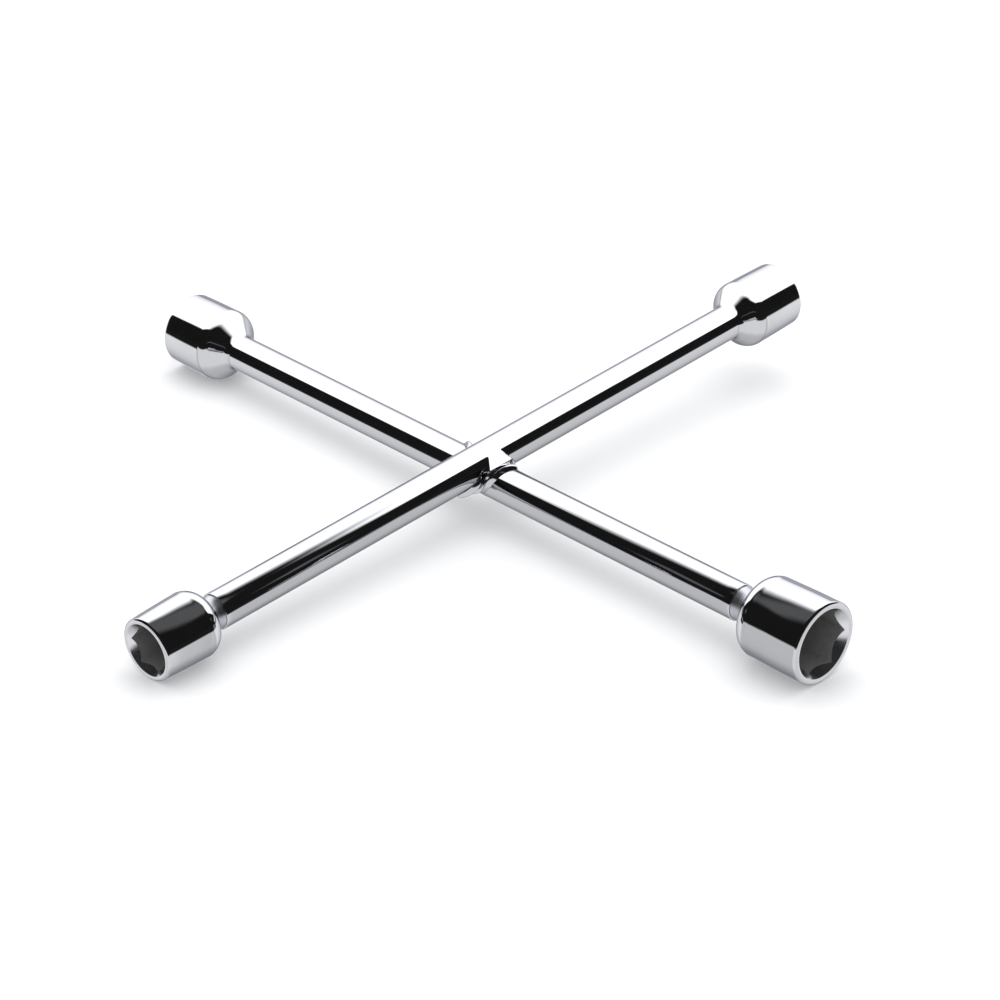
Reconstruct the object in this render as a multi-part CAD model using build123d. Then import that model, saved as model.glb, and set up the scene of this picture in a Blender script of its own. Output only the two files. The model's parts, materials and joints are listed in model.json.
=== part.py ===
from build123d import *
import os
from dataclasses import dataclass
from math import cos, radians, sin, sqrt, tan

# A rigid four-way lug wrench: two round steel bars pressed and welded across each other,
# with a forged hexagon socket welded to each of their four ends.
#
# Everything is first made in the tool's own frame, in millimetres: the lower bar's axis is X,
# the upper bar runs along Y above it, and the crossing is over the origin. The last step lays
# the tool on the ground, where it rests on three of its four sockets.

# ---- driving dimensions ----------------------------------------------------------------

OVERALL_LENGTH = 355.6  # rim to rim along each bar, the trade's 14 inch size
BAR_DIAMETER = 15.0
BAR_SPACING = 7.0  # upper bar's axis above the lower bar's, so the bars sink 8 mm into each other

RIM_ROUND = 1.0  # outer edge of a socket's mouth
MOUTH_CLEARANCE = 1.0  # lead-in's radius at the rim, beyond the hexagon's corners
LEAD_IN_ANGLE = 40.0  # lead-in's slope away from the socket's axis, degrees
HEX_CORNER_ROUND = 0.5
BORE_FLOOR_ANGLE = 140.0  # the stud bore's pointed floor, full angle

NECK_DIAMETER = 14.0  # turned weld neck, where a socket has one
NECK_WAIST = 13.6
BAR_END_ROUND = (BAR_DIAMETER - NECK_DIAMETER) / 2

BEAD_REACH = 2.0  # seam bead's spread from each bar's surface, in the corner between the bars
LIP_GAP = 0.6  # groove between the seam bead and a flash lip
LIP_WIDTH = 2.8
LIP_THICKNESS = 1.5
LIP_ROUND = 0.6
BEAD_ROUND = 1.2

HALF_LENGTH = OVERALL_LENGTH / 2
BAR_RADIUS = BAR_DIAMETER / 2
JOINT_HEIGHT = BAR_SPACING / 2


@dataclass
class Socket:
    """One end of the tool. Lengths run back from the rim towards the bar."""

    name: str
    arm: Vector  # which way it points in the tool's frame
    height: float  # its axis above the lower bar's
    across_flats: float
    rim_diameter: float
    outer_diameter: float  # at the shoulder end of the slightly tapered barrel
    barrel_length: float
    shoulder_round: float
    shoulder_slope: float  # steepest slope away from the axis, degrees
    neck_length: float  # turned neck of weld metal, or 0 where the weld is a fillet
    weld_fillet: float  # hollow radius of a fillet weld from shoulder to bar, or 0
    hex_depth: float
    stud_bore_length: float  # round hole beyond the hexagon, which clears the wheel stud
    clocking: float  # turn of the hexagon from corners level, degrees

    @property
    def corner_radius(self):
        return self.across_flats / sqrt(3)

    @property
    def stud_bore_radius(self):
        return (self.across_flats - 4.0) / 2

    @property
    def base_radius(self):
        """Where the shoulder meets the weld."""
        if self.neck_length:
            return NECK_DIAMETER / 2
        return BAR_RADIUS + self.weld_fillet * (1 - cos(radians(self.shoulder_slope)))

    @property
    def length(self):
        """From the rim to the weld."""
        slope = radians(self.shoulder_slope)
        cone_start = self.outer_diameter / 2 - self.shoulder_round * (1 - cos(slope))
        cone_length = (cone_start - self.base_radius) / tan(slope)
        return self.barrel_length + self.shoulder_round * sin(slope) + cone_length

    @property
    def weld_length(self):
        return self.neck_length or self.weld_fillet * sin(radians(self.shoulder_slope))

    @property
    def bar_end(self):
        """From the rim to the end of the bar."""
        return self.length + self.weld_length

    @property
    def frame(self):
        """Plane with its origin at the rim's centre and Z out of the mouth."""
        rim = self.arm * HALF_LENGTH + Vector(0, 0, self.height)
        return Plane(origin=rim, x_dir=Vector(0, 0, 1).cross(self.arm), z_dir=self.arm)


SOCKET_17 = Socket(
    name="17mm",
    arm=Vector(0, -1, 0),
    height=BAR_SPACING,
    across_flats=17.0,
    rim_diameter=25.8,
    outer_diameter=27.4,
    barrel_length=21.9,
    shoulder_round=7.5,
    shoulder_slope=70.0,
    neck_length=4.3,
    weld_fillet=0.0,
    hex_depth=16.0,
    stud_bore_length=3.0,
    clocking=-3.0,
)
SOCKET_19 = Socket(
    name="19mm",
    arm=Vector(0, 1, 0),
    height=BAR_SPACING,
    across_flats=19.0,
    rim_diameter=28.1,
    outer_diameter=28.9,
    barrel_length=22.2,
    shoulder_round=5.0,
    shoulder_slope=46.0,
    neck_length=0.0,
    weld_fillet=7.0,
    hex_depth=20.0,
    stud_bore_length=4.5,
    clocking=2.0,
)
SOCKET_21 = Socket(
    name="21mm",
    arm=Vector(-1, 0, 0),
    height=0.0,
    across_flats=21.0,
    rim_diameter=30.7,
    outer_diameter=31.2,
    barrel_length=20.8,
    shoulder_round=5.0,
    shoulder_slope=50.0,
    neck_length=0.0,
    weld_fillet=8.0,
    hex_depth=18.0,
    stud_bore_length=4.5,
    clocking=5.0,
)
SOCKET_23 = Socket(
    name="23mm",
    arm=Vector(1, 0, 0),
    height=0.0,
    across_flats=23.0,
    rim_diameter=33.9,
    outer_diameter=33.1,
    barrel_length=26.2,
    shoulder_round=6.4,
    shoulder_slope=61.0,
    neck_length=5.4,
    weld_fillet=0.0,
    hex_depth=20.0,
    stud_bore_length=8.0,
    clocking=-4.0,
)
SOCKETS = [SOCKET_17, SOCKET_19, SOCKET_21, SOCKET_23]


# ---- sockets and their welds -------------------------------------------------------------


def revolved(outline):
    """Solid of revolution about Z of an outline in the XZ plane, given as edges in order."""
    face = make_face(Plane.XZ * (Curve() + outline))
    return revolve(face, Axis.Z)


def socket_blank(s):
    """The forging's outside: barrel, rounded shoulder and cone, rim at Z = 0."""
    slope = radians(s.shoulder_slope)
    barrel = s.outer_diameter / 2
    rim = s.rim_diameter / 2
    base = s.base_radius
    round_centre = (barrel - s.shoulder_round, -s.barrel_length)
    cone_start = (
        round_centre[0] + s.shoulder_round * cos(slope),
        round_centre[1] - s.shoulder_round * sin(slope),
    )
    rim_centre = (rim - RIM_ROUND, -RIM_ROUND)
    outline = [
        Line((0, -s.length), (base, -s.length)),
        Line((base, -s.length), cone_start),
        CenterArc(round_centre, s.shoulder_round, -s.shoulder_slope, s.shoulder_slope),
        Line((barrel, -s.barrel_length), (rim, -RIM_ROUND)),
        CenterArc(rim_centre, RIM_ROUND, 0, 90),
        Line((rim - RIM_ROUND, 0), (0, 0)),
        Line((0, 0), (0, -s.length)),
    ]
    return revolved(outline)


def socket_recess(s):
    """What is taken out of the blank: lead-in, hexagon, and stud bore with its pointed floor."""
    hexagon = RegularPolygon(s.corner_radius, 6, rotation=s.clocking)
    hexagon = fillet(hexagon.vertices(), HEX_CORNER_ROUND)
    recess = extrude(hexagon, -s.hex_depth)

    mouth = s.corner_radius + MOUTH_CLEARANCE
    lead_in_depth = mouth / tan(radians(LEAD_IN_ANGLE))
    recess += Pos(0, 0, -lead_in_depth / 2) * Cone(0, mouth, lead_in_depth)

    bore_depth = s.hex_depth + s.stud_bore_length
    bore = Cylinder(s.stud_bore_radius, bore_depth, align=(Align.CENTER, Align.CENTER, Align.MAX))
    floor_depth = s.stud_bore_radius / tan(radians(BORE_FLOOR_ANGLE / 2))
    floor = Pos(0, 0, -bore_depth - floor_depth / 2) * Cone(0, s.stud_bore_radius, floor_depth)
    return recess + bore + floor


def make_socket(s):
    return s.frame * (socket_blank(s) - socket_recess(s))


def make_weld(s):
    """Weld metal between a bar's end and a socket: a waisted turned neck, or a hollow fillet."""
    bar_side = -s.bar_end
    socket_side = -s.length
    if s.neck_length:
        start = NECK_DIAMETER / 2
        middle = (bar_side + socket_side) / 2
        edge = Spline((start, bar_side), (NECK_WAIST / 2, middle), (start, socket_side))
    else:
        start = BAR_RADIUS
        edge = CenterArc((start + s.weld_fillet, bar_side), s.weld_fillet, 180, -s.shoulder_slope)
    outline = [
        Line((0, bar_side), (start, bar_side)),
        edge,
        Line((s.base_radius, socket_side), (0, socket_side)),
        Line((0, socket_side), (0, bar_side)),
    ]
    return s.frame * revolved(outline)


# ---- bars and their crossing -------------------------------------------------------------


def along_x(radius, length=OVERALL_LENGTH):
    """Cylinder about the lower bar's axis."""
    return Rot(0, 90, 0) * Cylinder(radius, length)


def along_y(radius, length=OVERALL_LENGTH):
    """Cylinder about the upper bar's axis."""
    return Pos(0, 0, BAR_SPACING) * Rot(90, 0, 0) * Cylinder(radius, length)


def half_space(above):
    """Everything near the crossing that is above, or below, the joint between the bars."""
    side = 4 * BAR_DIAMETER
    align = Align.MIN if above else Align.MAX
    return Pos(0, 0, JOINT_HEIGHT) * Box(side, side, side, align=(Align.CENTER, Align.CENTER, align))


def make_bar(negative_end, positive_end):
    """Round bar along Z between two sockets, its ends rounded where a turned neck begins."""
    low = negative_end.bar_end - HALF_LENGTH
    high = HALF_LENGTH - positive_end.bar_end
    bar = Pos(0, 0, (low + high) / 2) * Cylinder(BAR_RADIUS, high - low)
    ends = bar.edges().filter_by(GeomType.CIRCLE).sort_by(Axis.Z)
    rounded = [edge for edge, s in ((ends[0], negative_end), (ends[-1], positive_end)) if s.neck_length]
    return fillet(rounded, BAR_END_ROUND)


def make_lower_bar():
    bar = Rot(0, 90, 0) * make_bar(SOCKET_21, SOCKET_23)
    return bar - (along_y(BAR_RADIUS) & half_space(above=True))


def make_upper_bar():
    bar = Pos(0, 0, BAR_SPACING) * Rot(-90, 0, 0) * make_bar(SOCKET_17, SOCKET_19)
    return bar - (along_x(BAR_RADIUS) & half_space(above=False))


def make_seam_bead():
    """Weld metal squeezed into the corner all round the seam where the two bars meet."""
    reach = BAR_RADIUS + BEAD_REACH
    corner = along_x(reach) & along_y(reach)
    bead = corner - along_x(BAR_RADIUS) - along_y(BAR_RADIUS)
    crest = bead.edges().sort_by(SortBy.LENGTH)[-1]
    return fillet(crest, BEAD_ROUND)


def make_flash_lip(host, other, side):
    """Thin lip of flash lying on the host bar, on one side of the other bar."""
    inner = BAR_RADIUS + BEAD_REACH + LIP_GAP
    sheet = host(BAR_RADIUS + LIP_THICKNESS) - host(BAR_RADIUS)
    band = other(inner + LIP_WIDTH) - other(inner)
    lip = sheet & band & side
    outer_face = lip.faces().sort_by(SortBy.AREA)[-1]
    long_edges = outer_face.edges().sort_by(SortBy.LENGTH)[-2:]
    return fillet(long_edges, LIP_ROUND)


def side_box(direction):
    """Box on one side of the crossing, clear of the tool's middle plane."""
    reach = 2 * BAR_DIAMETER
    middle_gap = 1.0
    centre = direction * (reach / 2 + middle_gap)
    return Pos(centre.X, centre.Y, JOINT_HEIGHT) * Box(
        reach if direction.X else 2 * reach,
        reach if direction.Y else 2 * reach,
        2 * reach,
    )


# ---- lying on the ground -----------------------------------------------------------------


def ground_plane():
    """Plane touching the 21, 23 and 17 mm sockets from below, its origin under the crossing.

    Its height is z = z0 + slope_x * x + slope_y * y in the tool's frame. The 23 and 17 mm
    sockets touch it at their rims, and the 21 mm one at the back of its barrel.
    """
    x_21 = -(HALF_LENGTH - SOCKET_21.barrel_length)
    x_23 = HALF_LENGTH - RIM_ROUND
    y_17 = -(HALF_LENGTH - RIM_ROUND)
    slope_x = 0.0
    slope_y = 0.0
    for _ in range(4):
        drop_21 = SOCKET_21.outer_diameter / 2 * sqrt(1 + slope_y**2)
        drop_23 = SOCKET_23.rim_diameter / 2 * sqrt(1 + slope_y**2)
        drop_17 = SOCKET_17.rim_diameter / 2 * sqrt(1 + slope_x**2)
        slope_x = (drop_21 - drop_23) / (x_23 - x_21)
        z0 = -drop_21 - slope_x * x_21
        slope_y = (BAR_SPACING - drop_17 - z0) / y_17
    up = Vector(-slope_x, -slope_y, 1).normalized()
    crossing = Vector(0, 0, JOINT_HEIGHT)
    below_crossing = crossing - up * (crossing - Vector(0, 0, z0)).dot(up)
    return Plane(origin=below_crossing, x_dir=Vector(1, 0, slope_x), z_dir=up)


# ---- the tool ----------------------------------------------------------------------------

parts = {
    "lower_bar": make_lower_bar(),
    "upper_bar": make_upper_bar(),
    "crossing_seam_bead": make_seam_bead(),
}
for s in SOCKETS:
    parts[f"socket_{s.name}"] = make_socket(s)
    parts[f"socket_weld_{s.name}"] = make_weld(s)
for s in SOCKETS:
    host, other = (along_x, along_y) if s.arm.X else (along_y, along_x)
    parts[f"flash_lip_{s.name}_side"] = make_flash_lip(host, other, side_box(s.arm))

on_the_ground = ground_plane().location.inverse()

os.makedirs("parts", exist_ok=True)
for name, part in parts.items():
    placed = on_the_ground * part
    placed.label = name
    export_step(placed, f"parts/{name}.step")
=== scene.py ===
import json
import math

import bpy
import numpy as np
from mathutils import Matrix, Vector


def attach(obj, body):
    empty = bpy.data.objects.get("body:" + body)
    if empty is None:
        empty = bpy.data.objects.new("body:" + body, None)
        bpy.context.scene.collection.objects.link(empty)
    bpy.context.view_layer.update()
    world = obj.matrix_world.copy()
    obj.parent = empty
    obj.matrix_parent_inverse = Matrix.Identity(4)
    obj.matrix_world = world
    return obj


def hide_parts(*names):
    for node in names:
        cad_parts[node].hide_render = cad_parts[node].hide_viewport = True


# A chromed four-way lug wrench lying on a pale floor. Shapes are made in the tool's own frame, in
# millimetres: X along the lower bar, Y along the upper bar, Z up through the crossing, origin on
# the lower bar's axis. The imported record's mounts say where that frame lies.

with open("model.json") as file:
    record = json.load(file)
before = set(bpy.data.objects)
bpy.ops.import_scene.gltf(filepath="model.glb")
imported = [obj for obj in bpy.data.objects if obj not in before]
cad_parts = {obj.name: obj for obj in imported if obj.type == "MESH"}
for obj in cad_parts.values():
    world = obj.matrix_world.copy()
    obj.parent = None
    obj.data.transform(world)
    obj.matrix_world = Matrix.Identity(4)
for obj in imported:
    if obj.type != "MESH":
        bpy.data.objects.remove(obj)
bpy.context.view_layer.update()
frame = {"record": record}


# ---- the tool's frame, from the mounts ---------------------------------------------------

MM = 0.001

mounts = {m["name"]: m for m in frame["record"]["mounts"]}


def mount_point(name):
    return Vector(mounts[name]["pos_m"])


def mount_axis(name):
    return Vector(mounts[name]["axis"]).normalized()


tool_x = mount_axis("hex_23mm")
tool_z = tool_x.cross(mount_axis("hex_19mm")).normalized()
tool_y = tool_z.cross(tool_x)
tool_origin = (mount_point("hex_21mm") + mount_point("hex_23mm")) / 2
upper_middle = (mount_point("hex_17mm") + mount_point("hex_19mm")) / 2
HALF_LENGTH = (mount_point("hex_23mm") - mount_point("hex_21mm")).length / 2 / MM
UPPER_HEIGHT = (upper_middle - tool_origin).dot(tool_z) / MM
TOOL = Matrix.Translation(tool_origin) @ Matrix((tool_x, tool_y, tool_z)).transposed().to_4x4()
TOOL = TOOL @ Matrix.Scale(MM, 4)

BAR_RADIUS = 7.5


# ---- materials ---------------------------------------------------------------------------


def new_material(name):
    material = bpy.data.materials.new(name)
    material.use_nodes = True
    tree = material.node_tree
    shader = tree.nodes["Principled BSDF"]
    return material, tree, shader


def node(tree, kind, inputs=None, **settings):
    """New shader node, with its settings and socket values or links."""
    made = tree.nodes.new(kind)
    for key, value in settings.items():
        setattr(made, key, value)
    for key, value in (inputs or {}).items():
        if isinstance(value, bpy.types.NodeSocket):
            tree.links.new(value, made.inputs[key])
        else:
            made.inputs[key].default_value = value
    return made


def own_position(tree, stretch=(1.0, 1.0, 1.0)):
    """The position stored with the piece, in millimetres, stretched. A bar or socket lies along Z."""
    stored = node(tree, "ShaderNodeAttribute", attribute_name="local_mm")
    scaled = node(
        tree, "ShaderNodeVectorMath", {0: stored.outputs["Vector"], 1: stretch}, operation="MULTIPLY"
    )
    return scaled.outputs["Vector"]


def noise(tree, vector, scale, detail=2.0, roughness=0.5):
    """Noise whose features are about 1 / scale of a millimetre."""
    made = node(
        tree,
        "ShaderNodeTexNoise",
        {"Vector": vector, "Scale": scale, "Detail": detail, "Roughness": roughness},
    )
    return made.outputs["Fac"]


def ramp(tree, factor, low, high, start, end):
    """Maps factor from low..high to start..end, clamped."""
    made = node(
        tree,
        "ShaderNodeMapRange",
        {"Value": factor, "From Min": low, "From Max": high, "To Min": start, "To Max": end},
    )
    return made.outputs["Result"]


def darkened(tint, red, green, blue):
    return (tint[0] * red, tint[1] * green, tint[2] * blue, 1.0)


CHROME_TINT = (0.48, 0.483, 0.495)
CHROME_EDGE = (0.34, 0.34, 0.37, 1.0)
RIPPLE_DEPTH = 0.04 * MM
SCRATCH_DEPTH = 0.0004 * MM
BROACH_DEPTH = 0.02 * MM


def chrome(name, tint, wear=1.0, ripple=1.0, haze=0.02):
    """Bright chrome plate: near-mirror, with faint ripple, haze and fine polishing scratches."""
    material, tree, shader = new_material(name)
    even = own_position(tree)
    along = own_position(tree, (1.0, 1.0, 0.06))
    film = noise(tree, even, 0.09, 3.0)
    cloud = noise(tree, even, 0.5, 4.0, 0.6)
    scratch = noise(tree, along, 9.0, 2.0, 0.7)
    colour = node(
        tree,
        "ShaderNodeMix",
        {
            "Factor": cloud,
            "A": (*tint, 1.0),
            "B": darkened(tint, 0.95, 0.955, 0.97),
        },
        data_type="RGBA",
    )
    tree.links.new(colour.outputs["Result"], shader.inputs["Base Color"])
    shader.inputs["Metallic"].default_value = 1.0
    shader.inputs["Specular Tint"].default_value = CHROME_EDGE
    fine = ramp(tree, scratch, 0.62, 0.8, 0.0, 0.07 * wear)
    broad = ramp(tree, film, 0.35, 0.75, haze, haze + 0.04 * wear)
    rough = node(tree, "ShaderNodeMath", {0: fine, 1: broad}, operation="ADD")
    tree.links.new(rough.outputs[0], shader.inputs["Roughness"])
    wave = noise(tree, even, 0.16, 1.0)
    ripples = node(
        tree, "ShaderNodeBump", {"Height": wave, "Strength": 1.0, "Distance": RIPPLE_DEPTH * ripple}
    )
    hair = node(
        tree,
        "ShaderNodeBump",
        {
            "Height": scratch,
            "Strength": 1.0,
            "Distance": SCRATCH_DEPTH * wear,
            "Normal": ripples.outputs["Normal"],
        },
    )
    tree.links.new(hair.outputs["Normal"], shader.inputs["Normal"])
    return material


def bore_steel(name, tint):
    """Inside of a broached socket: thinly plated, matt and darker, with broaching lines."""
    material, tree, shader = new_material(name)
    even = own_position(tree)
    lines = own_position(tree, (1.0, 1.0, 0.02))
    stain = noise(tree, even, 0.6, 4.0, 0.65)
    broach = noise(tree, lines, 5.0, 3.0, 0.7)
    grain = noise(tree, even, 12.0, 3.0, 0.6)
    colour = node(
        tree,
        "ShaderNodeMix",
        {
            "Factor": ramp(tree, stain, 0.35, 0.7, 0.0, 1.0),
            "A": (*tint, 1.0),
            "B": darkened(tint, 0.82, 0.81, 0.8),
        },
        data_type="RGBA",
    )
    tree.links.new(colour.outputs["Result"], shader.inputs["Base Color"])
    shader.inputs["Metallic"].default_value = 0.35
    tree.links.new(ramp(tree, broach, 0.3, 0.7, 0.42, 0.6), shader.inputs["Roughness"])
    relief = node(tree, "ShaderNodeMath", {0: broach, 1: grain}, operation="ADD")
    bump = node(
        tree,
        "ShaderNodeBump",
        {"Height": relief.outputs[0], "Strength": 0.6, "Distance": BROACH_DEPTH},
    )
    tree.links.new(bump.outputs["Normal"], shader.inputs["Normal"])
    return material


bar_chrome = chrome("bar_chrome", CHROME_TINT, ripple=0.25)
socket_chrome = chrome("socket_chrome", CHROME_TINT, ripple=0.35)
weld_chrome = chrome("weld_chrome", (0.44, 0.44, 0.455), wear=3.0, ripple=1.0)
neck_chrome = chrome("neck_chrome", (0.42, 0.42, 0.455), wear=4.0, ripple=0.3, haze=0.3)
rim_chrome = chrome("rim_chrome", (0.56, 0.562, 0.57), ripple=0.2, haze=0.2)
broached_steel = bore_steel("bore_steel", (0.19, 0.19, 0.187))


# ---- meshes ------------------------------------------------------------------------------


def add_piece(name, points, faces, replaced, materials, local=None, finish=None, crease=35):
    """A piece from points in the tool's frame, in mm.

    local holds the points in the piece's own frame, and finish each face's index in materials.
    """
    mesh = bpy.data.meshes.new(name)
    mesh.from_pydata([tuple(p) for p in points], [], faces)
    for material in materials:
        mesh.materials.append(material)
    if finish is not None:
        mesh.polygons.foreach_set("material_index", finish)
    own = np.asarray(points if local is None else local, np.float32)
    attribute = mesh.attributes.new("local_mm", "FLOAT_VECTOR", "POINT")
    attribute.data.foreach_set("vector", own.ravel())
    mesh.transform(TOOL)
    mesh.shade_smooth()
    mesh.set_sharp_from_angle(angle=math.radians(crease))
    mesh.update()
    piece = bpy.data.objects.new(name, mesh)
    bpy.context.scene.collection.objects.link(piece)
    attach(piece, "root")
    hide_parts(*replaced)


def ring_faces(rings, count, poles):
    """Quads between rings of count points, closed round.

    With poles, a single point comes before the rings and another after them.
    """
    faces = []
    start = 1 if poles else 0
    for r in range(rings - 1):
        a = start + r * count
        b = a + count
        for i in range(count):
            j = (i + 1) % count
            faces.append((a + i, a + j, b + j, b + i))
    if poles:
        end = start + (rings - 1) * count
        for i in range(count):
            j = (i + 1) % count
            faces.append((0, start + j, start + i))
            faces.append((end + count, end + i, end + j))
    return faces


ROUND_STEPS = 4


def rounded(corners, rounds):
    """Rounds a profile's corners. Each corner is an array (turns, 2) of radii and depths."""
    out = [corners[0]]
    for i in range(1, len(corners) - 1):
        p, c, n = corners[i - 1], corners[i], corners[i + 1]
        if rounds[i] == 0:
            out.append(c)
            continue
        a, b = p - c, n - c
        la = np.linalg.norm(a, axis=1, keepdims=True)
        lb = np.linalg.norm(b, axis=1, keepdims=True)
        a, b = a / la, b / lb
        half = np.arccos(np.clip((a * b).sum(1, keepdims=True), -1, 1)) / 2
        reach = np.minimum(rounds[i] / np.tan(half), 0.45 * np.minimum(la, lb))
        for t in np.linspace(0, 1, ROUND_STEPS + 1):
            out.append(c + a * reach * (1 - t) ** 2 + b * reach * t**2)
    out.append(corners[-1])
    return out


SECTOR_STEPS = 36
CORNER_CROWDING = 0.85


def hexagon_turns(clocking):
    """Angles round a socket, closer together at the hexagon's corners."""
    s = np.arange(SECTOR_STEPS) / SECTOR_STEPS
    sector = s - CORNER_CROWDING * np.sin(2 * np.pi * s) / (2 * np.pi)
    turns = (np.arange(6)[:, None] + sector[None, :]).ravel() * math.radians(60)
    return turns + math.radians(clocking)


def hexagon_radius(turns, clocking, across_flats, corner_round):
    """Radius of a hexagon with rounded corners at each of the turns."""
    half_sector = math.radians(30)
    apothem = across_flats / 2
    off = (turns - math.radians(clocking) + half_sector) % math.radians(60) - half_sector
    off = np.abs(off)
    centre = (apothem - corner_round) / math.cos(half_sector)
    tangent = math.atan2(
        corner_round * math.sin(half_sector), centre + corner_round * math.cos(half_sector)
    )
    flat = apothem / np.cos(half_sector - off)
    under = np.maximum(corner_round**2 - (centre * np.sin(off)) ** 2, 0)
    corner = centre * np.cos(off) + np.sqrt(under)
    return np.where(off < tangent, corner, flat)


def socket_axes(arm):
    """Side, up and outward directions of an end of the tool."""
    out = np.array(arm, float)
    side = np.cross((0, 0, 1.0), out)
    up = np.cross(out, side)
    return side, up, out


def place(local, arm, height):
    """Points given as (side, up, out of the rim) moved to an end of the tool."""
    side, up, out = socket_axes(arm)
    rim = out * HALF_LENGTH + np.array((0, 0, height))
    return rim + local[:, :1] * side + local[:, 1:2] * up + local[:, 2:3] * out


RIM_ROUND = 1.0
MOUTH_CLEARANCE = 1.0
LEAD_IN = math.tan(math.radians(40))
HEX_CORNER_ROUND = 0.5
NECK_RADIUS = 7.0
PROFILE_BLEND = 0.5
PROFILE_STEP = 0.05
PROFILE_PAD = 2.0
STUD_BORE_UNDER = 4.0  # how much narrower than its hexagon a stud bore is
DRILL_HALF_ANGLE = math.radians(70)


def weld_length(s):
    return s["neck"] or s["fillet"] * math.sin(math.radians(s["slope"]))


def base_radius(s):
    """Where the shoulder meets the weld."""
    if s["neck"]:
        return NECK_RADIUS
    return BAR_RADIUS + s["fillet"] * (1 - math.cos(math.radians(s["slope"])))


def cone_start(s):
    """Radius and depth where the shoulder's round gives way to its cone."""
    slope = math.radians(s["slope"])
    radius = s["outer"] / 2 - s["round"] * (1 - math.cos(slope))
    return radius, s["barrel"] + s["round"] * math.sin(slope)


def socket_length(s):
    radius, depth = cone_start(s)
    return depth + (radius - base_radius(s)) / math.tan(math.radians(s["slope"]))


def barrel_radius(depth, s):
    """Slightly tapered, and hand polished away from a true cone."""
    u = depth / s["barrel"]
    taper = s["rim"] / 2 + (s["outer"] - s["rim"]) / 2 * u
    bulge = s["crown"] * (1 - (1 - u) ** 4 - u**3)
    wave = s["wave"] * math.sin(2 * math.pi * (1.3 * u + s["phase"])) * 4 * u * (1 - u)
    return taper + bulge + wave - s["crown"] * 0.4


def extended(end, neighbour):
    """A point beyond the end of a path, in line with its last stretch."""
    return end + (end - neighbour) / np.linalg.norm(end - neighbour) * PROFILE_PAD


def outside(s):
    """Depths and radii from the shoulder's base to the rim's round, with no sudden bends."""
    cone_radius, cone_depth = cone_start(s)
    steps = 40
    path = [(socket_length(s), base_radius(s)), (cone_depth, cone_radius)]
    for a in np.radians(np.linspace(s["slope"], 0, steps))[1:]:
        radius = s["outer"] / 2 - s["round"] * (1 - math.cos(a))
        path.append((s["barrel"] + s["round"] * math.sin(a), radius))
    for d in np.linspace(s["barrel"], RIM_ROUND, steps)[1:]:
        path.append((d, barrel_radius(d, s)))
    path = np.array(path)
    path = np.concatenate([[extended(path[0], path[1])], path, [extended(path[-1], path[-2])]])

    # evenly spaced points, softened by a bell curve three of its widths to each side
    run = np.concatenate([[0], np.cumsum(np.linalg.norm(np.diff(path, axis=0), axis=1))])
    fine = np.arange(0, run[-1], PROFILE_STEP)
    even = np.stack([np.interp(fine, run, path[:, k]) for k in (0, 1)], axis=1)
    reach = np.arange(-30, 31)
    weight = np.exp(-((reach * PROFILE_STEP) ** 2) / (2 * PROFILE_BLEND**2))
    weight /= weight.sum()
    soft = np.stack([np.convolve(even[:, k], weight, "same") for k in (0, 1)], axis=1)
    inner = (fine >= PROFILE_PAD) & (fine <= run[-1] - PROFILE_PAD)
    kept = soft[inner][::7]
    return np.concatenate([[path[1]], kept[1:], [path[-2]]])


def build_socket(s):
    """Forged socket: shoulder, barrel, rim, lead-in, hexagon and a drilled stud bore."""
    turns = hexagon_turns(s["clocking"])
    count = len(turns)
    hexagon = hexagon_radius(turns, s["clocking"], s["hex"], HEX_CORNER_ROUND)
    one = np.ones(count)

    def at(radius, depth):
        return np.stack([radius * one, depth * one], axis=1)

    length = socket_length(s)
    mouth = s["hex"] / math.sqrt(3) + MOUTH_CLEARANCE
    stud = (s["hex"] - STUD_BORE_UNDER) / 2
    bore = s["hex_depth"] + s["stud_depth"]
    floor = bore + stud / math.tan(DRILL_HALF_ANGLE)

    profile = [at(radius, depth) for depth, radius in outside(s)]
    rim_outer = profile[-1][0, 0]
    for a in np.linspace(0, math.pi / 2, 9)[1:]:
        profile.append(
            at(rim_outer - RIM_ROUND * (1 - math.cos(a)), RIM_ROUND * (1 - math.sin(a)))
        )

    meet = (mouth - hexagon) / LEAD_IN
    inner = rounded(
        [
            profile[-1],
            at(mouth, 0),
            np.stack([hexagon, meet], axis=1),
            np.stack([hexagon, s["hex_depth"] * one], axis=1),
            at(stud, s["hex_depth"]),
            at(stud, bore),
            at(0.3, floor),
        ],
        [0, 0.2, 0.12, 0.5, 0.3, 0.8, 0],
    )
    outer_rings = len(profile)
    profile += inner[1:]
    rings = len(profile)
    # the lead-in ends in the middle of the round between it and the hexagon
    lead_in_end = outer_rings + (ROUND_STEPS + 1) + (ROUND_STEPS // 2 + 1)

    local = []
    for radius_depth in profile:
        r, d = radius_depth[:, 0], radius_depth[:, 1]
        local.append(np.stack([r * np.cos(turns), r * np.sin(turns), -d], axis=1))
    local = np.concatenate([[[0, 0, -length]], *local, [[0, 0, -floor - 0.1]]])
    faces = ring_faces(rings, count, poles=True)
    outer_finish, bore_finish, rim_finish = 0, 1, 2
    finish = np.full(len(faces), outer_finish, np.int32)
    finish[(outer_rings - 1) * count : (rings - 1) * count] = rim_finish
    finish[(lead_in_end - 1) * count : (rings - 1) * count] = bore_finish
    finish[-count * 2 + 1 :: 2] = bore_finish
    add_piece(
        f"Socket_{s['hex']:.0f}mm",
        place(local, s["arm"], s["height"]),
        faces,
        [f"socket_{s['hex']:.0f}mm"],
        [socket_chrome, broached_steel, rim_chrome],
        local,
        finish,
    )


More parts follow.
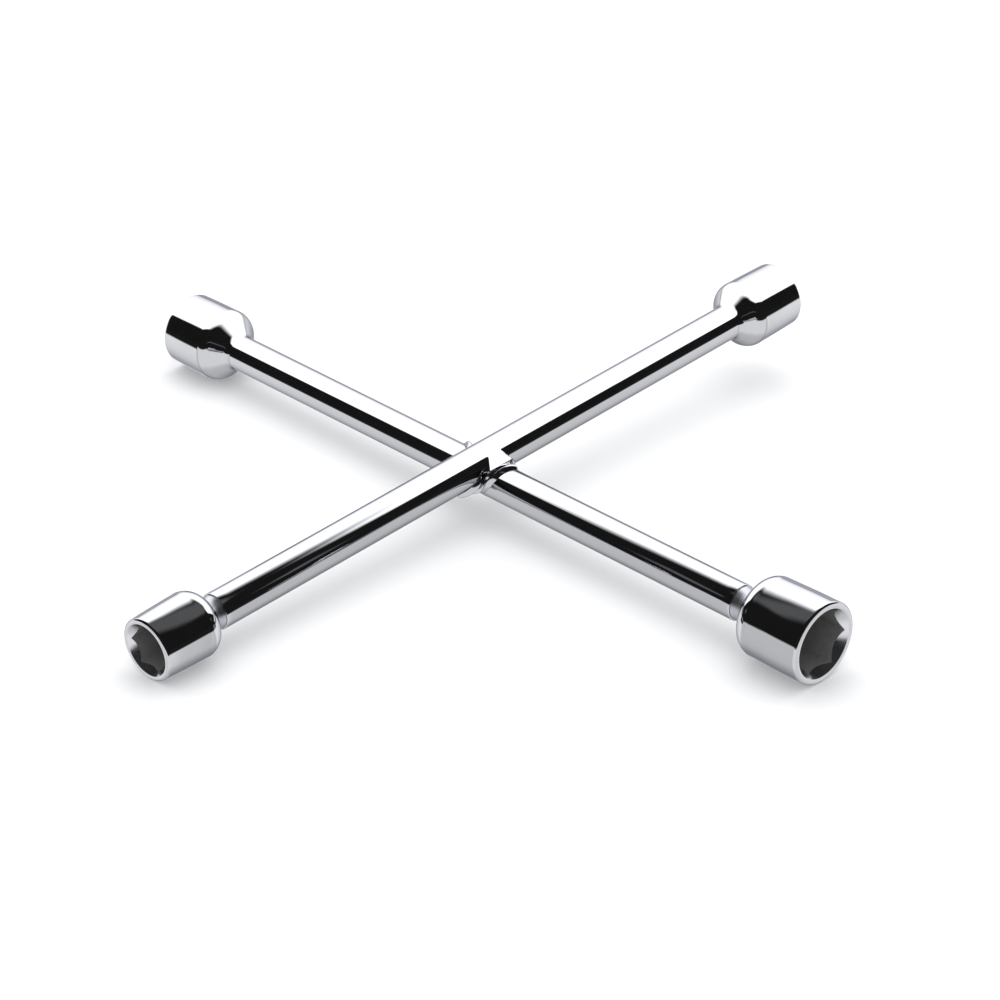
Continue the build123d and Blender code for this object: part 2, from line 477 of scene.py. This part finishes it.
# Each end's socket, in millimetres and degrees. rim and outer are the barrel's diameters at the rim
# and at the shoulder. round and slope shape the shoulder, which runs down to a neck or a fillet.
# crown, wave and phase are the barrel's departures from a true cone.
SOCKETS = [
    dict(
        arm=(0, -1, 0), height=UPPER_HEIGHT, hex=17.0, rim=25.8, outer=27.4, barrel=21.9, round=7.5,
        slope=70.0, neck=4.3, fillet=0.0, hex_depth=16.0, stud_depth=3.0, clocking=-3.0,
        crown=0.16, wave=0.015, phase=0.1,
    ),
    dict(
        arm=(0, 1, 0), height=UPPER_HEIGHT, hex=19.0, rim=28.1, outer=28.9, barrel=22.4, round=6.0,
        slope=46.0, neck=0.0, fillet=4.0, hex_depth=20.0, stud_depth=4.5, clocking=2.0,
        crown=0.1, wave=0.01, phase=0.4,
    ),
    dict(
        arm=(-1, 0, 0), height=0.0, hex=21.0, rim=30.7, outer=31.2, barrel=21.0, round=6.0,
        slope=46.0, neck=0.0, fillet=4.0, hex_depth=18.0, stud_depth=4.5, clocking=5.0,
        crown=0.1, wave=0.01, phase=0.7,
    ),
    dict(
        arm=(1, 0, 0), height=0.0, hex=23.0, rim=33.9, outer=33.1, barrel=26.2, round=6.4,
        slope=61.0, neck=5.4, fillet=0.0, hex_depth=20.0, stud_depth=8.0, clocking=-4.0,
        crown=0.16, wave=0.015, phase=0.6,
    ),
]


def revolve(profile, arm, height, count=144):
    """Points of a closed solid of revolution about an end's axis, from (radius, depth) rings."""
    turns = np.linspace(0, 2 * math.pi, count, endpoint=False)
    rings = []
    for r, d in profile:
        rings.append(np.stack([r * np.cos(turns), r * np.sin(turns), np.full(count, -d)], axis=1))
    local = np.concatenate([[[0, 0, -profile[0][1]]], *rings, [[0, 0, -profile[-1][1]]]])
    return local, place(local, arm, height), ring_faces(len(profile), count, poles=True)


def build_weld(s):
    """Waisted turned neck, or a hollow fillet, between the bar's end and the socket.

    Its ends are sunk a little into the bar and the socket.
    """
    start = socket_length(s)
    end = start + weld_length(s)
    in_bar, in_socket = end + 0.3, start - 0.6
    if s["neck"]:
        profile = [(NECK_RADIUS - 0.05, in_bar)]
        for t in np.linspace(0, 1, 19):
            waist = 0.22 * math.sin(math.pi * t) + 0.015 * math.sin(9 * math.pi * t + s["phase"])
            profile.append((NECK_RADIUS - waist, end + (start - end) * t))
        profile.append((NECK_RADIUS - 0.1, in_socket))
    else:
        profile = [(BAR_RADIUS - 0.05, in_bar)]
        for a in np.radians(np.linspace(0, s["slope"], 25)):
            radius = BAR_RADIUS + s["fillet"] * (1 - math.cos(a))
            profile.append((radius, end - s["fillet"] * math.sin(a)))
        profile.append((base_radius(s) - 0.6, in_socket))
    local, points, faces = revolve(profile, s["arm"], s["height"])
    size = f"{s['hex']:.0f}mm"
    plate = neck_chrome if s["neck"] else socket_chrome
    add_piece(f"Socket_weld_{size}", points, faces, [f"socket_weld_{size}"], [plate], local)


def end_round(end, outward, size):
    """A rounded end's stations, outermost last, each with the cut from the bar's radius."""
    if not size:
        return [(end, 0.0)]
    turns = np.linspace(0, math.pi / 2, 7)
    return [(end - outward * size * (1 - math.sin(a)), size * (1 - math.cos(a))) for a in turns]


CROSSING_REACH = 12.0


def bar_points(axis, radius_at, low, high, low_round, high_round):
    """A closed bar along axis ("x" or "y"). radius_at(stations, angles) gives its radius in mm.

    Its points are closer together at the crossing, and where the aprons' lower edges lie.
    """
    edge = np.arange(-4, 14, 0.6)
    angles = np.concatenate([edge, np.arange(14, 166, 2), 180 - edge[::-1], np.arange(186, 356, 2)])
    angles = np.radians(angles)
    coarse = np.linspace(low, high, 60)
    coarse = coarse[np.abs(coarse) > CROSSING_REACH + 0.5]
    fine = np.linspace(-CROSSING_REACH, CROSSING_REACH, 201)
    stations = np.unique(np.concatenate([coarse, fine]))
    inner = [(s, 0.0) for s in stations if low + low_round + 0.01 < s < high - high_round - 0.01]
    rings = end_round(low, -1, low_round)[::-1] + inner + end_round(high, 1, high_round)
    places, cuts = np.array(rings).T
    radius = radius_at(places, angles) - cuts[:, None]
    height = UPPER_HEIGHT if axis == "y" else 0.0
    along = np.repeat(places[:, None], len(angles), axis=1)
    across, up = radius * np.cos(angles), radius * np.sin(angles) + height
    if axis == "y":
        points = np.stack([across, along, up], axis=2)
        local = np.stack([across, up - height, along], axis=2)
    else:
        points = np.stack([along, -across, up], axis=2)
        local = np.stack([-across, up - height, along], axis=2)
    points = points.reshape(-1, 3)
    local = local.reshape(-1, 3)
    centre = np.array([[0, places[0], height], [0, places[-1], height]])
    ends = np.array([[0, 0, places[0]], [0, 0, places[-1]]], float)
    if axis == "x":
        centre = centre[:, [1, 0, 2]]
    points = np.concatenate([centre[:1], points, centre[1:]])
    local = np.concatenate([ends[:1], local, ends[1:]])
    return points, local, ring_faces(len(places), len(angles), poles=True)


def bar_end(s):
    """Distance of a bar's end from its socket's rim."""
    return socket_length(s) + weld_length(s)


def smooth(x, low, high):
    """Rises smoothly from 0 at low to 1 at high."""
    t = np.clip((x - low) / (high - low), 0, 1)
    return t * t * (3 - 2 * t)


# An apron leaves the upper bar's flank at one lift and ends at another, in degrees above level.
# It widens downwards from its top's left and right edges, which are along Y in millimetres.
APRON_LIFT = 50.0
APRON_FOOT = (1.0, 9.5)
APRON_TOP = (-3.2, 4.0)
APRON_FLARE = (-4.6, 3.4)
APRON_EDGE = 0.5
BACK_APRON_SHARE = 0.85


def lower_radius(stations, angles):
    return np.full((len(stations), len(angles)), BAR_RADIUS)


def upper_radius(stations, angles):
    """Round, but at the crossing its flanks are pressed out over the lower bar as aprons."""
    y = stations[:, None]
    lift = np.degrees(np.arctan2(np.sin(angles), np.cos(angles)))[None, :]
    near = np.abs(lift) <= 90
    lift = np.where(near, lift, np.sign(lift) * (180 - np.abs(lift)))
    reach = BAR_RADIUS / np.cos(np.radians(np.clip(APRON_LIFT - lift, 0, 44)))
    swell = (reach - BAR_RADIUS) * smooth(lift, *APRON_FOOT) * (lift < APRON_LIFT)
    y = np.where(near, y, -y)
    fan = np.clip(38 - lift, 0, 45) / 39
    left = APRON_TOP[0] + APRON_FLARE[0] * fan
    right = APRON_TOP[1] + APRON_FLARE[1] * fan
    from_left = smooth(y, left - APRON_EDGE, left + APRON_EDGE)
    to_right = 1 - smooth(y, right - APRON_EDGE, right + APRON_EDGE)
    return BAR_RADIUS + swell * from_left * to_right * np.where(near, 1.0, BACK_APRON_SHARE)


def build_bars():
    s17, s19, s21, s23 = SOCKETS
    points, local, faces = bar_points(
        "x", lower_radius, bar_end(s21) - HALF_LENGTH, HALF_LENGTH - bar_end(s23), 0.0, 0.5
    )
    add_piece("Lower_bar", points, faces, ["lower_bar"], [bar_chrome], local)
    points, local, faces = bar_points(
        "y", upper_radius, bar_end(s17) - HALF_LENGTH, HALF_LENGTH - bar_end(s19), 0.5, 0.0
    )
    add_piece("Upper_bar", points, faces, ["upper_bar"], [bar_chrome], local)


# ---- weld metal at the crossing ------------------------------------------------------------


def on_lower(x, turn):
    """Point and normal on the lower bar, turned from its top towards -Y, in degrees."""
    a = math.radians(turn)
    normal = np.array((0.0, -math.sin(a), math.cos(a)))
    return np.array((x, 0.0, 0.0)) + BAR_RADIUS * normal, normal


def on_upper(y, lift, side=1):
    """Point and normal on the upper bar's flank, lifted from level, in degrees."""
    a = math.radians(lift)
    normal = np.array((side * math.cos(a), 0.0, math.sin(a)))
    return np.array((0.0, y, UPPER_HEIGHT)) + BAR_RADIUS * normal, normal


def between(point, normal, other_point, other_normal, share=0.5, out=0.0):
    """Point and normal in the corner between the two bars."""
    middle = normal * (1 - share) + other_normal * share
    middle /= np.linalg.norm(middle)
    return point * (1 - share) + other_point * share + middle * out, middle


def seam(turn):
    """Point of the seam between the bars, and the corner's own direction. turn is in degrees."""
    a = math.radians(turn)
    share = (1 + math.cos(2 * a)) / 2
    z = UPPER_HEIGHT - BAR_RADIUS + (2 * BAR_RADIUS - UPPER_HEIGHT) * share
    x = math.sqrt(max(BAR_RADIUS**2 - (z - UPPER_HEIGHT) ** 2, 0)) * np.sign(round(math.cos(a), 9))
    y = math.sqrt(max(BAR_RADIUS**2 - z**2, 0)) * np.sign(round(math.sin(a), 9))
    outward = np.array((x, y, z - UPPER_HEIGHT)) * (1, 0, 1) + np.array((x, y, z)) * (0, 1, 1)
    return np.array((x, y, z)), outward / np.linalg.norm(outward)


def through(controls, steps):
    """Smooth curve through rows of control values."""
    controls = np.asarray(controls, float)
    before = 2 * controls[0] - controls[1]
    after = 2 * controls[-1] - controls[-2]
    padded = np.concatenate([[before], controls, [after]])
    t = np.arange(steps)[:, None] / steps
    rows = []
    for k in range(len(controls) - 1):
        a, b, c, d = padded[k : k + 4]
        square = 2 * a - 5 * b + 4 * c - d
        cube = 3 * b - a - 3 * c + d
        rows.append(0.5 * (2 * b + (c - a) * t + square * t**2 + cube * t**3))
    rows.append(controls[-1:])
    return np.concatenate(rows)


def fold(stations, crest=2.0, steps=14, count=34, closed=False):
    """Ridge of squeezed metal along stations, each ((point, normal), half width, height, lean).

    A low crest makes the ridge sharper. Each ring has six points below the surface.
    """
    rows = np.array([[*p, *n, width, height, lean] for (p, n), width, height, lean in stations])
    if closed:
        rows = np.concatenate([rows, rows[:1]])
    rows = through(rows, steps)
    if closed:
        rows = rows[:-1]
    points, normals = rows[:, :3], rows[:, 3:6]
    normals = normals / np.linalg.norm(normals, axis=1, keepdims=True)
    width, height, lean = rows[:, 6:7], rows[:, 7:8], rows[:, 8:9]
    if closed:
        tangents = np.roll(points, -1, axis=0) - np.roll(points, 1, axis=0)
    else:
        tangents = np.gradient(points, axis=0)
        t = np.linspace(-1, 1, len(points))[:, None]
        taper = np.sqrt(np.maximum(1 - np.abs(t) ** 6, 0.0))
        width, height = width * taper, height * taper
    tangents /= np.linalg.norm(tangents, axis=1, keepdims=True)
    across = np.cross(tangents, normals)
    across /= np.linalg.norm(across, axis=1, keepdims=True)
    rings = []
    for t in np.linspace(0, 1, count - 6):
        up = 1 - abs(1 - 2 * t) ** crest
        rings.append(points + across * (width * (1 - 2 * t) + lean * up) + normals * height * up)
    for t in np.linspace(0, 1, 8)[1:-1]:
        sunk = 0.9 * math.sin(math.pi * t)
        rings.append(points - across * width * (1 - 2 * t) - normals * sunk)
    made = np.stack(rings, axis=1).reshape(-1, 3)
    total = len(points)
    if not closed:
        made = np.concatenate([points[:1], made, points[-1:]])
        return made, ring_faces(total, count, poles=True)
    faces = ring_faces(total, count, poles=False)
    last = (total - 1) * count
    for i in range(count):
        j = (i + 1) % count
        faces.append((last + i, last + j, j, i))
    return made, faces


def add_folds(name, node_name, folds):
    """One piece from several folds."""
    points, faces, start = [], [], 0
    for made, its_faces in folds:
        points.append(made)
        faces += [tuple(start + i for i in face) for face in its_faces]
        start += len(made)
    points = np.concatenate(points)
    add_piece(name, points, faces, [node_name], [weld_chrome], crease=60)


def build_crossing():
    """The seam bead between the bars and the lips of flash squeezed out on each side."""
    bead = []
    for turn in range(0, 360, 15):
        point, outward = seam(turn)
        size = 1.5 + 0.25 * math.sin(math.radians(3 * turn + 40))
        bead.append(((point + outward * 0.35, outward), size, size * 0.85, 0.0))
    add_folds("Crossing_seam_bead", "crossing_seam_bead", [fold(bead, steps=5, closed=True)])

    collar = fold(
        [
            (on_lower(14.2, -42), 0.9, 0.9, 0.1),
            (on_lower(13.8, -30), 1.3, 1.7, 0.3),
            (on_lower(13.2, -12), 1.3, 1.8, 0.3),
            (on_lower(12.5, 12), 1.3, 1.8, 0.3),
            (on_lower(11.5, 36), 1.4, 1.7, 0.3),
            (on_lower(10.0, 60), 1.4, 1.6, 0.3),
            (on_lower(8.2, 84), 1.3, 1.4, 0.2),
            (on_lower(6.2, 106), 1.1, 1.0, 0.1),
            (on_lower(4.6, 122), 0.7, 0.5, 0.0),
        ],
        crest=1.35,
    )
    inner = fold(
        [
            (on_lower(10.6, -34), 0.8, 0.9, 0.1),
            (on_lower(10.9, -8), 1.2, 1.6, 0.2),
            (on_lower(10.3, 20), 1.3, 1.9, 0.3),
            (on_lower(9.2, 46), 1.3, 2.0, 0.3),
            (on_lower(7.6, 70), 1.2, 1.8, 0.2),
            (on_lower(5.8, 94), 1.0, 1.3, 0.1),
            (on_lower(4.2, 114), 0.7, 0.6, 0.0),
        ],
        crest=1.35,
    )
    add_folds("Flash_lip_23mm_side", "flash_lip_23mm_side", [collar, inner])

    back = fold(
        [
            (on_lower(-15.6, -36), 0.8, 0.8, 0.0),
            (on_lower(-13.2, -31), 1.6, 1.9, 0.2),
            (on_lower(-10.8, -22), 1.8, 2.0, 0.2),
            (on_lower(-9.6, -5), 1.3, 1.2, 0.0),
            (on_lower(-9.0, 20), 0.9, 0.8, 0.0),
            (on_lower(-8.6, 50), 0.9, 0.8, 0.0),
            (on_lower(-7.8, 80), 0.9, 0.8, 0.0),
            (on_lower(-6.2, 110), 0.6, 0.5, 0.0),
        ]
    )
    back_low = fold(
        [
            (on_lower(-12.6, -52), 0.8, 0.7, 0.0),
            (on_lower(-11.2, -75), 1.6, 1.4, -0.3),
            (on_lower(-8.6, -98), 1.5, 1.2, -0.3),
            (on_lower(-5.6, -120), 0.7, 0.5, 0.0),
        ]
    )
    add_folds("Flash_lip_21mm_side", "flash_lip_21mm_side", [back, back_low])

    leaf = fold(
        [
            (on_upper(-20.6, -46), 0.5, 0.5, 0.0),
            (on_upper(-18.0, -50), 1.3, 1.6, 0.3),
            (on_upper(-15.2, -48), 1.7, 2.2, 0.4),
            (on_upper(-12.6, -38), 1.6, 2.0, 0.4),
            (on_upper(-10.4, -24), 1.2, 1.5, 0.2),
            (on_upper(-8.8, -8), 0.8, 0.8, 0.0),
        ],
        crest=1.6,
    )
    second = fold(
        [
            (on_upper(-16.4, -66), 0.8, 0.8, 0.0),
            (on_upper(-13.6, -58), 1.3, 1.8, 0.3),
            (between(*on_upper(-10.6, -46), *on_lower(6.6, 90), 0.3, 0.8), 1.4, 1.8, 0.3),
            (between(*on_upper(-9.2, -28), *on_lower(8.0, 70), 0.5, 1.0), 1.2, 1.5, 0.2),
            (between(*on_upper(-8.2, -12), *on_lower(8.8, 54), 0.6, 0.9), 0.9, 1.0, 0.0),
        ],
        crest=1.6,
    )
    third = fold(
        [
            (on_upper(-11.4, -82), 0.7, 0.6, 0.0),
            (between(*on_upper(-9.8, -68), *on_lower(3.6, 108), 0.3, 0.7), 1.2, 1.6, 0.2),
            (between(*on_upper(-8.8, -50), *on_lower(5.2, 94), 0.6, 1.0), 1.3, 1.6, 0.2),
            (on_lower(6.2, 88), 1.1, 1.5, 0.1),
            (on_lower(7.4, 72), 0.8, 0.9, 0.0),
        ],
        crest=1.6,
    )
    far_flank = fold(
        [
            (on_upper(-14.0, -50, -1), 0.5, 0.4, 0.0),
            (on_upper(-11.4, -42, -1), 1.4, 1.2, -0.2),
            (on_upper(-9.4, -24, -1), 1.3, 1.1, -0.2),
            (on_upper(-8.2, -6, -1), 0.7, 0.6, 0.0),
        ]
    )
    add_folds("Flash_lip_17mm_side", "flash_lip_17mm_side", [leaf, second, third, far_flank])

    right = fold(
        [
            (on_upper(7.6, 2), 0.5, 0.4, 0.0),
            (on_upper(8.6, -14), 1.1, 1.0, 0.0),
            (on_upper(9.8, -34), 1.5, 1.3, 0.2),
            (on_upper(11.6, -56), 1.3, 1.1, 0.2),
            (on_upper(13.4, -76), 0.6, 0.4, 0.0),
        ]
    )
    far_right = fold(
        [
            (on_upper(8.0, -2, -1), 0.5, 0.4, 0.0),
            (on_upper(9.4, -20, -1), 1.3, 1.2, 0.0),
            (on_upper(11.6, -38, -1), 1.6, 1.4, -0.3),
            (on_upper(14.4, -52, -1), 1.1, 0.9, -0.2),
            (on_upper(16.8, -60, -1), 0.5, 0.3, 0.0),
        ]
    )
    add_folds("Flash_lip_19mm_side", "flash_lip_19mm_side", [right, far_right])


build_crossing()
build_bars()
for each in SOCKETS:
    build_socket(each)
    build_weld(each)


# ---- floor, light and camera -------------------------------------------------------------


def build_floor():
    """A plain pale disc, 6 m in radius, that mirror reflections don't see."""
    count = 96
    radii = (0.3, 0.8, 2.0, 6.0)
    turns = np.linspace(0, 2 * math.pi, count, endpoint=False)
    points = [(0, 0, 0)]
    for r in radii:
        points += [(r * math.cos(a), r * math.sin(a), 0) for a in turns]
    faces = [(0, 1 + i, 1 + (i + 1) % count) for i in range(count)]
    for k in range(len(radii) - 1):
        a, b = 1 + k * count, 1 + (k + 1) * count
        for i in range(count):
            j = (i + 1) % count
            faces.append((a + i, b + i, b + j, a + j))
    mesh = bpy.data.meshes.new("Floor")
    mesh.from_pydata(points, [], faces)
    material, _, shader = new_material("pale_floor")
    shader.inputs["Base Color"].default_value = (0.78, 0.78, 0.785, 1.0)
    shader.inputs["Roughness"].default_value = 0.85
    shader.inputs["Specular IOR Level"].default_value = 0.1
    mesh.materials.append(material)
    floor = bpy.data.objects.new("Floor", mesh)
    bpy.context.scene.collection.objects.link(floor)
    floor.visible_glossy = False


# The studio is laid out in the tool's frame: u towards its front, where the camera stands, and s to
# the right. It is a ceiling and a card above the tool, at heights in millimetres above the lower
# bar's axis, and a world that gives mirror reflections a horizon and a floor, and everything else
# an even dome.
FRONT_AZIMUTH = math.radians(44.67)
TOWARDS = (math.sin(FRONT_AZIMUTH), -math.cos(FRONT_AZIMUTH), 0.0)
RIGHTWARD = (math.cos(FRONT_AZIMUTH), math.sin(FRONT_AZIMUTH), 0.0)
STUDIO_COLOUR = (0.985, 0.99, 1.0, 1.0)
CEILING_HEIGHT = 200.0
CEILING_REACH = 3000.0
CEILING_GLOW = 2.6
DARK_CEILING_GLOW = 0.015
CARD_HEIGHT = 70.0
CARD_GLOW = 0.165
WALL_GLOW = 0.4 * CEILING_GLOW
DARK_WALL_GLOW = 0.02
DOME_GLOW = 1.36


def part(tree, vector, axis):
    """The part of a vector along an axis."""
    return node(
        tree, "ShaderNodeVectorMath", {0: vector, 1: axis}, operation="DOT_PRODUCT"
    ).outputs["Value"]


def maths(tree, operation, *values):
    made = node(tree, "ShaderNodeMath", dict(enumerate(values)), operation=operation)
    return made.outputs["Value"]


def step(tree, value, low, high):
    """Rises smoothly from 0 at low to 1 at high, which may be the smaller one."""
    return node(
        tree,
        "ShaderNodeMapRange",
        {"Value": value, "From Min": low, "From Max": high},
        interpolation_type="SMOOTHSTEP",
    ).outputs["Result"]


def blend(tree, share, start, end):
    """start where share is 0, end where it is 1."""
    span = maths(tree, "SUBTRACT", end, start)
    return maths(tree, "ADD", start, maths(tree, "MULTIPLY", share, span))


def studio_panel(name, corners, height):
    """A flat panel over the tool that only mirror reflections see. Returns its material's tree."""
    points = [(x, y, height) for x, y in corners]
    mesh = bpy.data.meshes.new(name)
    mesh.from_pydata(points, [], [(0, 3, 2, 1)])
    attribute = mesh.attributes.new("local_mm", "FLOAT_VECTOR", "POINT")
    attribute.data.foreach_set("vector", np.asarray(points, np.float32).ravel())
    mesh.transform(TOOL)
    material = bpy.data.materials.new(name.lower())
    material.use_nodes = True
    material.node_tree.nodes.clear()
    mesh.materials.append(material)
    panel = bpy.data.objects.new(name, mesh)
    bpy.context.scene.collection.objects.link(panel)
    panel.visible_camera = False
    panel.visible_diffuse = False
    panel.visible_transmission = False
    panel.visible_shadow = False
    return material.node_tree


def build_ceiling():
    """The studio's bright ceiling, close above the tool and dark at the front."""
    reach = CEILING_REACH
    corners = [(-reach, -reach), (reach, -reach), (reach, reach), (-reach, reach)]
    tree = studio_panel("Studio_ceiling", corners, CEILING_HEIGHT)
    place = own_position(tree)
    u = part(tree, place, TOWARDS)
    s = part(tree, place, RIGHTWARD)
    side = maths(tree, "ABSOLUTE", s)
    right = step(tree, s, -60.0, 60.0)
    distance = node(tree, "ShaderNodeVectorMath", {0: place}, operation="LENGTH").outputs["Value"]

    # white at the back; its front edge is soft on the left and sharper far to the right
    soft = step(tree, u, 25.0, -62.0)
    sharp = step(tree, u, 55.0, 10.0)
    white = blend(tree, step(tree, s, 40.0, 140.0), soft, sharp)
    # both sides are cut aslant
    slant = blend(tree, right, 0.75, 0.81)
    limit = blend(tree, right, 113.0, 200.0)
    across = maths(tree, "ADD", u, maths(tree, "MULTIPLY", side, slant))
    within = step(tree, maths(tree, "SUBTRACT", across, limit), 14.0, -14.0)
    # it dims with distance
    fade = blend(tree, step(tree, distance, CEILING_REACH, 600.0), 0.4, 1.0)
    panel = maths(tree, "MULTIPLY", maths(tree, "MULTIPLY", white, fade), CEILING_GLOW)
    level = maths(tree, "ADD", maths(tree, "MULTIPLY", panel, within), DARK_CEILING_GLOW)
    glow = node(tree, "ShaderNodeEmission", {"Color": STUDIO_COLOUR, "Strength": level})
    out = node(tree, "ShaderNodeOutputMaterial")
    tree.links.new(glow.outputs[0], out.inputs["Surface"])


def build_card():
    """A slate-grey card low over each of the two front sockets, with soft edges."""
    corners = []
    for u, s in ((20.0, -150.0), (150.0, -150.0), (150.0, 150.0), (20.0, 150.0)):
        corners.append((u * TOWARDS[0] + s * RIGHTWARD[0], u * TOWARDS[1] + s * RIGHTWARD[1]))
    tree = studio_panel("Studio_card", corners, CARD_HEIGHT)
    place = own_position(tree)
    u = part(tree, place, TOWARDS)
    s = part(tree, place, RIGHTWARD)
    side = maths(tree, "ABSOLUTE", s)
    inner = step(tree, u, 82.0, 100.0)
    outer = blend(tree, step(tree, s, -40.0, 40.0), 126.0, 119.0)
    shape = maths(tree, "MULTIPLY", inner, step(tree, maths(tree, "SUBTRACT", u, outer), 8.0, -8.0))
    shape = maths(tree, "MULTIPLY", shape, step(tree, side, 40.0, 60.0))
    shape = maths(tree, "MULTIPLY", shape, step(tree, side, 145.0, 125.0))
    glow = node(tree, "ShaderNodeEmission", {"Color": STUDIO_COLOUR, "Strength": CARD_GLOW})
    clear = node(tree, "ShaderNodeBsdfTransparent")
    mixed = node(tree, "ShaderNodeMixShader", {0: shape, 1: clear.outputs[0], 2: glow.outputs[0]})
    out = node(tree, "ShaderNodeOutputMaterial")
    tree.links.new(mixed.outputs[0], out.inputs["Surface"])


def build_world():
    """Below the ceiling's edge: a white back wall, a dark front and the floor in reflections."""
    world = bpy.data.worlds.new("Studio")
    bpy.context.scene.world = world
    world.use_nodes = True
    tree = world.node_tree
    tree.nodes.clear()
    seen = node(tree, "ShaderNodeTexCoord")
    direction = node(
        tree, "ShaderNodeVectorMath", {0: seen.outputs["Generated"]}, operation="NORMALIZE"
    ).outputs["Vector"]
    turn = TOOL.to_3x3().normalized()
    u = part(tree, direction, tuple(turn @ Vector(TOWARDS)))
    s = part(tree, direction, tuple(turn @ Vector(RIGHTWARD)))
    z = part(tree, direction, tuple(turn @ Vector((0.0, 0.0, 1.0))))
    side = maths(tree, "ABSOLUTE", s)
    right = step(tree, s, -0.1, 0.1)
    back = step(tree, u, -0.28, -0.36)
    # constant along a level bar's reflections: 0.51 at the front ends, 0.67 at the back ends
    reach = maths(tree, "MULTIPLY", maths(tree, "SUBTRACT", side, u), 0.707)
    wall = maths(tree, "ADD", maths(tree, "MULTIPLY", back, WALL_GLOW), DARK_WALL_GLOW)

    # at the front the floor begins a little below the horizon
    drop = blend(tree, right, maths(tree, "MULTIPLY", step(tree, reach, 0.57, 0.62), 0.15), 0.17)
    drop = maths(tree, "MULTIPLY", drop, maths(tree, "SUBTRACT", 1.0, back))
    floor = step(tree, maths(tree, "ADD", z, drop), 0.035, -0.035)
    # it is brighter towards the back and beyond the front ends, and darker straight below
    brighter = maths(tree, "MAXIMUM", step(tree, reach, 0.56, 0.72), step(tree, reach, 0.49, 0.4))
    brightest = blend(tree, step(tree, reach, 0.45, 0.6), 1.32, 1.55)
    below = blend(tree, step(tree, z, -0.72, -0.95), 1.0, 0.72)
    floor_glow = maths(tree, "MULTIPLY", blend(tree, brighter, 1.0, brightest), below)
    level = blend(tree, floor, wall, floor_glow)

    mirrored = node(tree, "ShaderNodeLightPath").outputs["Is Glossy Ray"]
    plain = maths(tree, "MULTIPLY", maths(tree, "SUBTRACT", 1.0, mirrored), DOME_GLOW)
    strength = maths(tree, "ADD", maths(tree, "MULTIPLY", mirrored, level), plain)
    studio = node(tree, "ShaderNodeBackground", {"Color": STUDIO_COLOUR, "Strength": strength})
    out = node(tree, "ShaderNodeOutputWorld")
    tree.links.new(studio.outputs[0], out.inputs["Surface"])


def build_lights():
    """A weak soft light from above, which mirror reflections don't see."""
    light = bpy.data.lights.new("Overhead_softbox", "AREA")
    light.shape = "RECTANGLE"
    light.size = 1.6
    light.size_y = 1.2
    light.energy = 6.0
    lamp = bpy.data.objects.new("Overhead_softbox", light)
    lamp.location = (-0.25, 0.3, 1.5)
    lamp.rotation_mode = "QUATERNION"
    lamp.rotation_quaternion = (-Vector(lamp.location)).to_track_quat("-Z", "Y")
    lamp.visible_glossy = False
    bpy.context.scene.collection.objects.link(lamp)


# the camera's place and directions in the tool's frame
EYE = (894.16, -858.75, 782.11)
FORWARD = (-0.60450, 0.58601, -0.53960)
CAMERA_RIGHT = (0.71144, 0.70188, -0.03476)


def build_camera():
    camera = bpy.data.cameras.new("Camera")
    camera.lens = 131.84
    camera.sensor_width = 36.0
    camera.dof.use_dof = False
    camera.clip_start = 0.05
    camera.clip_end = 50.0
    eye = TOOL @ Vector(EYE)
    turn = TOOL.to_3x3().normalized()
    forward = (turn @ Vector(FORWARD)).normalized()
    right = (turn @ Vector(CAMERA_RIGHT)).normalized()
    up = right.cross(forward).normalized()
    right = forward.cross(up)
    view = Matrix((right, up, -forward)).transposed().to_4x4()
    holder = bpy.data.objects.new("Camera", camera)
    holder.matrix_world = Matrix.Translation(eye) @ view
    bpy.context.scene.collection.objects.link(holder)
    bpy.context.scene.camera = holder


build_floor()
build_ceiling()
build_card()
build_world()
build_lights()
build_camera()
bpy.context.scene.view_settings.view_transform = "Standard"
